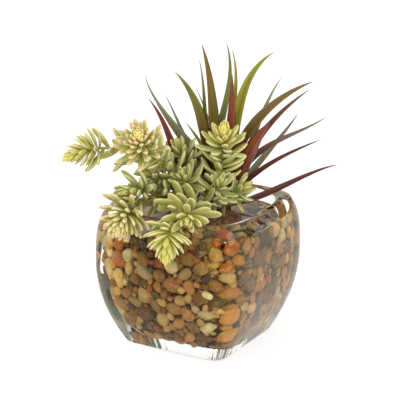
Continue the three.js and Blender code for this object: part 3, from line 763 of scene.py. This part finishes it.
# Where they lie: middle, radius, mix.
NESTS = (((51, -50, 97), 15, AMBER), ((-53, -50, 78), 24, GOLDEN), ((-53, -50, 48), 16, GOLDEN))
PEBBLE_THICK = 0.79
TOP_PEBBLE_CREST = 2
SIDE_PEBBLE_CREST = 1.6
MOST_PEBBLES = 4000
CORE_DEPTH = 7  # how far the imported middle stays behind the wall
CORE_SQUARENESS = 3.6
CORE_TOP = BED_TOP - 7.5
THROWS = [
    # on top or against the wall, tries, least and greatest radius, how far behind the wall, closeness
    (False, 90, 6.6, 8.2, (0, 0), 0.92), (False, 2600, 4.6, 6, (0, 0.6), 0.9),
    (True, 60, 6, 7.4, (0, 0), 0.95), (False, 5200, 3.5, 4.6, (0, 1.4), 0.88),
    (False, 5200, 2.3, 3.5, (0, 3), 0.86), (False, 3800, 4.4, 6.4, (5, 9), 0.8),
    (True, 1500, 4.4, 5.4, (0, 0), 0.9), (True, 2600, 3, 4.4, (0, 0), 0.88),
]


def wall_at(turn, z):
    return reach_of(inner_half(z), inner_squareness(z), turn)


def wall_place(turn, z, depth):
    """The point that lies depth inside the inner wall, and the wall's outward direction there."""
    here = lambda t, h: vec(wall_at(t, h) * math.cos(t), wall_at(t, h) * math.sin(t), h)
    around = here(turn + 0.01, z) - here(turn - 0.01, z)
    above = here(turn, min(z + 0.5, BOWL_HEIGHT)) - here(turn, max(z - 0.5, FLOOR + 0.01))
    out = unit(np.cross(around, above))
    return here(turn, z) - out * depth, out


def in_plug(point, radius):
    c, s = math.cos(PLANTING_TURN), math.sin(PLANTING_TURN)
    across, away = point[0] * c + point[1] * s, point[1] * c - point[0] * s
    x = (across - PLUG["across"]) / (PLUG["half_across"] + 0.7 * radius)
    y = (away - PLUG["away"]) / (PLUG["half_away"] + 0.7 * radius)
    return math.hypot(x, y) < 1 and point[2] + radius > PLUG["bottom"]


def throw_pebbles():
    """The CAD's three throws, then the finer pebbles that fill in between them and behind."""
    draw = seeded(909)
    points, radii, outs = np.zeros((MOST_PEBBLES, 3)), np.zeros(MOST_PEBBLES), []
    for on_top, tries, small, large, back, closeness in THROWS:
        for _ in range(tries):
            radius, turn, far = draw(small, large), draw(0, 2 * math.pi), draw(0, 1)
            if on_top:
                reach = (wall_at(turn, BED_TOP) - radius) * math.sqrt(0.1 + 0.9 * far)
                z = BED_TOP + TOP_PEBBLE_CREST - draw(0, 0.6) - PEBBLE_THICK * radius
                point, out = vec(reach * math.cos(turn), reach * math.sin(turn), z), vec(0, 0, 1)
            else:
                crest = BED_TOP + SIDE_PEBBLE_CREST
                level = clamp(draw(FLOOR + 2, BED_TOP + 1), FLOOR + 0.8 * radius, crest - 0.9 * radius)
                point, out = wall_place(turn, level, GAP + 0.84 * radius + lerp(*back, far))
                point[2] = clamp(point[2], FLOOR + 0.85 * radius, crest - 0.8 * radius)
            keep_if_clear(points, radii, outs, point, radius, out, closeness)
    return points[: len(outs)], radii[: len(outs)], outs


def keep_if_clear(points, radii, outs, point, radius, out, closeness):
    count = len(outs)
    gaps = np.linalg.norm(points[:count] - point, axis=1)
    if in_plug(point, radius) or (gaps < (radii[:count] + radius) * closeness).any():
        return
    points[count], radii[count] = point, radius
    outs.append(out)


def pebble_color(draw, point):
    pick, total = draw(0, 1), 0
    mixes = [mix for middle, radius, mix in NESTS if np.linalg.norm(point - middle) < radius]
    for share, color in mixes[0] if mixes else PEBBLE_COLORS:
        total += share
        if pick <= total:
            break
    spread = draw(0.82, 1.08)
    return srgb(*(clamp(c * spread, 8, 250) for c in color))


def unit_ball():
    ball = bmesh.new()
    bmesh.ops.create_icosphere(ball, subdivisions=3, radius=1)
    points = np.array([v.co[:] for v in ball.verts])
    faces = [tuple(v.index for v in f.verts) for f in ball.faces]
    ball.free()
    return points, faces


def held_in(points):
    """Keeps a pebble's points off the wall's inside, the floor and the fill's top."""
    for i, (x, y, z) in enumerate(points):
        reach = math.hypot(x, y)
        room = wall_at(math.atan2(y, x), clamp(z, FLOOR + 1, BOWL_HEIGHT)) - GAP
        if reach > room:
            points[i, :2] *= room / reach
    points[:, 2] = np.clip(points[:, 2], FLOOR + 0.4, BED_TOP + TOP_PEBBLE_CREST)
    return points


def build_pebbles():
    points, radii, outs = throw_pebbles()
    draw = seeded(313)
    ball_points, ball_faces = unit_ball()
    shape = Shape()
    for point, radius, out in zip(points, radii, outs):
        side = unit(np.cross(out, vec(draw(-1, 1), draw(-1, 1), draw(-1, 1)) + 1e-3))
        other = np.cross(out, side)
        tilt = unit(out + 0.45 * side * draw(-1, 1) + 0.45 * other * draw(-1, 1))
        side = unit(np.cross(tilt, other))
        other = np.cross(tilt, side)
        long, wide, thick = radius * draw(1.0, 1.42), radius * draw(0.8, 1.0), radius * draw(0.72, 0.86)
        lumps = 1 + 0.08 * np.sin(ball_points @ vec(draw(1, 4), draw(1, 4), draw(1, 4)) + draw(0, 6))
        axes = np.array([long * side, wide * other, thick * tilt])
        placed = point + (ball_points * lumps[:, None]) @ axes
        first = len(shape.points)
        shape.points.extend(held_in(placed))
        shape.faces.extend(tuple(first + k for k in face) for face in ball_faces)
        shape.tints.extend([pebble_color(draw, point)] * len(placed))
        shape.marks.extend([(draw(0, 1), draw(0.1, 0.55), draw(-0.6, 0.7), 1)] * len(placed))
    core_into(shape)
    in_core = lambda corners: len(corners) == 4  # the pebbles' own faces have three corners
    return shape.object("pebbles", pebble_material, turned=False, others=((shade_stones_material, in_core),))


def core_into(shape):
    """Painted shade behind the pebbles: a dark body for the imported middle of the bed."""
    count, steps, cap = 48, 14, 6
    bottom = FLOOR + 5
    levels = [lerp(bottom, BED_TOP - 8, i / steps) for i in range(steps + 1)]
    rings = [soft_ring(inner_half(z) - CORE_DEPTH, CORE_SQUARENESS, z, count) for z in levels]
    rings.insert(0, soft_ring(cap, CORE_SQUARENESS, bottom - 0.5, count))
    rings.append(soft_ring(cap, CORE_SQUARENESS, CORE_TOP, count))
    brown = srgb(*DEEP_BROWN)
    tints = [[brown] * count for _ in rings]
    shape.skin(rings, (0, 0, bottom - 1), (0, 0, CORE_TOP), tints, brown, brown, (0.5, 0.2, 0, 1))


place(build_pebbles(), "pebbles", "pebble_bed")


# ---- Clear resin round the pebbles ----
def build_resin():
    """Its top dips a little from the wall inwards. All but the top is wetted glass."""
    shape = Shape()
    count, wall_steps = 128, 34
    low = FLOOR + RESIN_GAP
    turns = [math.pi / 2 * i / ARC_STEPS for i in range(1, ARC_STEPS)]
    levels = [low + FLOOR_ROUND * (1 - math.cos(turn)) for turn in turns]
    levels += [lerp(low + FLOOR_ROUND, RESIN_TOP, i / wall_steps) for i in range(wall_steps + 1)]
    rings = [inner_ring(z, count, RESIN_GAP) for z in levels]
    half, squareness = inner_half(RESIN_TOP) - RESIN_GAP, inner_squareness(RESIN_TOP)
    for inset, drop in ((0.5, 0.2), (1.2, 0.4), (2.4, 0.55), (5, 0.6)):
        rings.append(soft_ring(half - inset, squareness, RESIN_TOP - drop, count))
    shape.plain_skin(rings, (0, 0, low), (0, 0, RESIN_TOP - 0.6))
    wet = lambda corners: corners[:, 2].min() <= RESIN_TOP - 0.7
    return shape.object("resin", resin, turned=False, others=((wetted, wet),))


place(build_resin(), "glass")


# ---- Planting plug ----
def build_plug():
    """A plain peg in the bed, with a rough mound of roots and soil on top."""
    draw = seeded(51)
    shape = Shape()
    count = 96
    rings = []
    levels = [(1.0, PLUG["bottom"]), (1.0, 92), (1.0, BED_TOP + 1), (0.98, 105), (0.93, 106.2), (0.85, 107.4)]
    levels += [(0.75, 108.4), (0.62, 109.6), (0.5, 110.2), (0.36, 110.7), (0.22, 111), (0.1, 111)]
    waves = [(draw(2, 9), draw(0, 6), draw(0.4, 1)) for _ in range(9)]
    for share, z in levels:
        ring = []
        for i in range(count):
            turn = 2 * math.pi * i / count
            rough = sum(a * math.sin(round(k) * turn + p + z) for k, p, a in waves) * 0.16
            rough += draw(-0.5, 0.5)
            if z < BED_TOP + 2:
                rough = 0
            x = PLUG["across"] + (share * PLUG["half_across"] + rough) * math.cos(turn)
            y = PLUG["away"] + (share * PLUG["half_away"] + rough) * math.sin(turn)
            ring.append((x, y, z - abs(rough) * 0.9))
        rings.append(ring)
    middle = (PLUG["across"], PLUG["away"])
    shape.plain_skin(rings, (*middle, PLUG["bottom"]), (*middle, PLUG["top"] - 0.6))
    return shape.object("plug", soil_material)


place(build_plug(), "soil", "planting_plug")


# ---- Blades ----
def blend_hues(low, high, share):
    """Holds the low hue near the crown, and turns to the high one further up."""
    share = clamp((share - 0.25) / 0.5)
    return tuple(lerp(a, b, share) for a, b in zip(srgb(*HUES[low]), srgb(*HUES[high])))


BLADE_STATIONS = [i / 26 for i in range(26)] + [0.985]
BLADE_OFFSETS = (-1, -0.72, -0.42, -0.18, 0, 0.18, 0.42, 0.72, 1)


def blade_into(shape, spike, chance):
    """One channelled blade: its upper face, then its lower one back again, at each station."""
    curve, side = spike_curve(spike)
    low, high, edge = spike[5:]
    rings, tints, marks = [], [], [(0, 0.5, chance, 1)]
    for share in BLADE_STATIONS:
        at, face, across = spike_frame(curve, side, spike[3], share)
        half = spike_width(spike, share) / 2
        thick = SPIKE_THICKNESS * lerp(0.8, 0.4, share)
        sunk = lambda x: at + across * x * half - face * CHANNEL * half * (1 - abs(x) ** 1.25)
        swell = lambda x: thick * 0.5 * (1 - x * x)
        ring = [sunk(x) + face * swell(x) for x in BLADE_OFFSETS]
        ring += [sunk(x) - face * (swell(x) + 0.12) for x in reversed(BLADE_OFFSETS[1:-1])]
        mark = [(share, (x + 1) / 2, chance, 1) for x in (*BLADE_OFFSETS, *reversed(BLADE_OFFSETS[1:-1]))]
        rings.append(ring[::-1])
        marks.extend(mark[::-1])
        tints.append([blend_hues(low, high, share + 0.18 * math.sin(9 * chance))] * len(ring))
    marks.append((1, 0.5, chance, 1))
    first = len(shape.marks)
    start = np.mean(rings[0], axis=0)
    shape.skin(rings, start, curve.point(1), tints, blend_hues(low, high, 0), blend_hues(low, high, 1))
    shape.marks[first:] = marks
    shape.edges.extend([srgb(*HUES[edge])] * len(marks))


def crown_into(shape):
    middle, count = (CROWN["across"], CROWN["away"]), 20
    radii = ((4, 91), (4, 111), (4.8, 113), (5, 115), (4.6, 117), (3.8, 120), (3, 123))
    rings = [circle(middle, radius, z, count) for radius, z in radii]
    hue = srgb(*HUES["maroon"])
    tints = [[hue] * count for _ in rings]
    shape.skin(rings, (*middle, CROWN["bottom"]), (*middle, 126), tints, hue, hue, (0.1, 0.5, 0.3, 1))
    shape.edges.extend([hue] * len(shape.marks))


def build_spikes():
    shape = Shape()
    crown_into(shape)
    draw = seeded(5)
    for spike in SPIKES:
        blade_into(shape, spike, draw(0, 1))
    return shape.object("rosette_blades", spike_material)


place(build_spikes(), "spiky_leaf", "spiky_rosette")


# ---- Sedum ----
LEAF_STATIONS = (0.03, 0.12, 0.25, 0.4, 0.55, 0.68, 0.79, 0.88, 0.94, 0.98)
LEAF_SIDES = 10


def leaf_fullness(leaf, share):
    body = lerp(0.45, 1, math.sin(math.pi / 2 * clamp(share / 0.5)))
    if leaf["blunt"]:
        return body * max(0, 1 - clamp((share - 0.7) / 0.305) ** 2.2) ** 0.5
    return body * max(0, 1 - clamp((share - 0.6) / 0.405) ** 2.1) ** 0.6


def leaf_into(shape, leaf, marks, chance):
    rings, tints = [], []
    for share in LEAF_STATIONS:
        at = leaf_point(leaf, share)
        along = unit(leaf_point(leaf, share + 0.03) - leaf_point(leaf, share - 0.03))
        side = unit(np.cross(leaf["face"], along))
        up = np.cross(along, side)
        half = leaf["width"] / 2 * leaf_fullness(leaf, share)
        ring, tint = [], []
        for i in range(LEAF_SIDES):
            turn = 2 * math.pi * i / LEAF_SIDES
            lift = math.sin(turn) * (0.5 if math.sin(turn) > 0 else 0.7) * (1.25 if leaf["blunt"] else 1)
            ring.append(at + side * half * math.cos(turn) + up * half * lift)
            tint.append((share, abs(math.cos(turn)), chance, 1))
        rings.append(ring)
        tints.append(tint)
    shape.skin(rings, leaf["root"], leaf["tip"], tints, (0, 0, chance, 1), (1, 1, chance, 1), marks)


def stem_into(shape, stem, marks):
    count, steps = 10, 30
    root = stem["curve"].point(0)
    rings = [circle(root, STEM_RADIUS, root[2] - depth, count) for depth in (PEG_DEPTH, 6)]
    turns = [2 * math.pi * i / count for i in range(count)]
    for k in range(steps):
        share = 0.02 + 0.98 * k / steps
        at, along, up, side = frame_at(stem, share)
        radius = STEM_RADIUS * (1 - 0.35 * share)
        rings.append([at + up * radius * math.cos(turn) + side * radius * math.sin(turn) for turn in turns])
    tint = (0.3, 0.2, 0.5, 1)
    foot = (root[0], root[1], root[2] - PEG_DEPTH)
    tints = [[tint] * count for _ in rings]
    shape.skin(rings, foot, stem["curve"].point(1), tints, tint, tint, marks)


def claim_stem(name, stem):
    steps = math.floor(stem["length"] / 2 + 0.5)
    for k in range(steps + 1):
        claim(name, stem["curve"].point(k / steps), STEM_RADIUS)


def leaf_marks(leaf, yellow, pink, dark):
    """A head yellows towards its heart, pales at its tips, and takes painted shade on its outer leaves, less
    towards its heart. Further down the stem leaves are plain, with the painted shade in full.
    """
    if not leaf["in_head"]:
        return (0.2 * yellow, 0.3 * pink, dark, 1)
    share = leaf["climb"]
    return (yellow * (0.2 + 0.8 * share**1.3), pink * (1 - 0.85 * share**5), dark * (1 - share), 1)


def build_spray(spray, stem):
    name, seed = spray[:2]
    yellow, pink, dark = TINTS[name]
    draw = seeded(seed + 100)
    shape = Shape()
    # The stem takes half the painted shade.
    stem_into(shape, stem, (yellow * 0.5, 0, 0.5, 1))
    for leaf in leaves_of(spray, stem):
        leaf_into(shape, leaf, leaf_marks(leaf, yellow, pink, dark), draw(0, 1))
    return shape.object(name.replace("sedum", "fine_sedum"), leaf_material)


for spike in SPIKES:
    claim_spike(spike)
stems = [stem_of(spray) for spray in SPRAYS]
for spray, stem in zip(SPRAYS, stems):
    claim_stem(spray[0], stem)
for spray, stem in zip(SPRAYS, stems):
    place(build_spray(spray, stem), "sedum_leaf", spray[0])


# ---- Floor, light and camera ----
def build_floor():
    """Lit from within, so that it is as white as the background and takes only a faint shadow."""
    half, level = 8, -0.0004
    mesh = bpy.data.meshes.new("floor")
    corners = [(x * half, y * half, level) for x, y in ((-1, -1), (1, -1), (1, 1), (-1, 1))]
    mesh.from_pydata(corners, [], [(0, 1, 2, 3)])
    grey = (0.35, 0.35, 0.35, 1)
    looks = {"Base Color": grey, "Roughness": 0.9, "Emission Color": WHITE, "Emission Strength": 0.72}
    mesh.materials.append(material("floor", looks)[0])
    floor = bpy.data.objects.new("floor", mesh)
    bpy.context.scene.collection.objects.link(floor)


build_floor()


def aim(obj, target):
    obj.rotation_mode = "QUATERNION"
    obj.rotation_quaternion = (Vector(target) - obj.location).to_track_quat("-Z", "Y")


def area_light(name, place_at, target, size, power):
    data = bpy.data.lights.new(name, "AREA")
    data.shape, data.size, data.size_y = "RECTANGLE", size[0], size[1]
    data.energy = power
    light = bpy.data.objects.new(name, data)
    light.location = place_at
    bpy.context.scene.collection.objects.link(light)
    aim(light, target)


# Name, place, target, size in metres, watts.
area_light("key", (-0.9, -1.1, 1.7), (0, 0, 0.12), (0.9, 0.9), 16)
area_light("side", (1.5, 0.1, 0.9), (0, 0, 0.1), (0.9, 0.9), 9)
# A small bright one, which the corners of the glass throw back as white glints.
area_light("glint", (1.2, -0.75, 0.7), (0, 0, 0.08), (0.12, 0.22), 2.5)

world = bpy.data.worlds.new("studio")
bpy.context.scene.world = world
world.use_nodes = True


# Dark flags in the white studio: direction, where each begins and where it is full, as a cosine.
FLAGS = (((0.47, 0.88, 0.05), 0.8, 0.93), ((0.1, 0.85, 0.5), 0.86, 0.94))
FLAG_COLOR = (0.1, 0.12, 0.09, 1)
STUDIO_STRENGTH = 1.05


def light_the_world(graph):
    """An even white studio, with two dark flags behind, which draw the edges of the glass."""
    sight = graph.nodes.new("ShaderNodeTexCoord").outputs["Generated"]
    shade = WHITE
    for direction, start, full in FLAGS:
        flag = graph.nodes.new("ShaderNodeVectorMath")
        flag.operation = "DOT_PRODUCT"
        flag.inputs[1].default_value = Vector(direction).normalized()
        graph.feed(flag.inputs[0], sight)
        shade = graph.mix(graph.rise(flag.outputs["Value"], start, full), shade, FLAG_COLOR)
    background = graph.nodes["Background"]
    graph.feed(background.inputs["Color"], shade)
    background.inputs["Strength"].default_value = STUDIO_STRENGTH


light_the_world(Graph(world.node_tree))

# The photograph's view: a long lens, 20 degrees above the horizon, 30 degrees round to the right.
BACK = Vector((0.47507, -0.80849, 0.34733))
RIGHT = Vector((0.86217, 0.50661, 0))
UP = Vector((-0.17596, 0.29946, 0.93774))
TARGET = Vector((0, 0, 0.063))
DISTANCE = 1.6
PICTURE, FOCAL = 400, 1900.8  # the picture's width and the lens, in its pixels
OFF_CENTRE = (1.033, 63.526)  # how far right of the target, and above it, the picture's middle is
SENSOR = 36
camera_data = bpy.data.cameras.new("camera")
camera_data.lens, camera_data.sensor_width = SENSOR * FOCAL / PICTURE, SENSOR
camera_data.clip_start, camera_data.clip_end = 0.1, 30
camera = bpy.data.objects.new("camera", camera_data)
camera.location = TARGET + BACK * DISTANCE
camera.rotation_mode = "QUATERNION"
sight = -BACK + RIGHT * (OFF_CENTRE[0] / FOCAL) + UP * (OFF_CENTRE[1] / FOCAL)
camera.rotation_quaternion = sight.to_track_quat("-Z", "Y")
bpy.context.scene.collection.objects.link(camera)
bpy.context.scene.camera = camera
bpy.context.scene.view_settings.view_transform = "Standard"
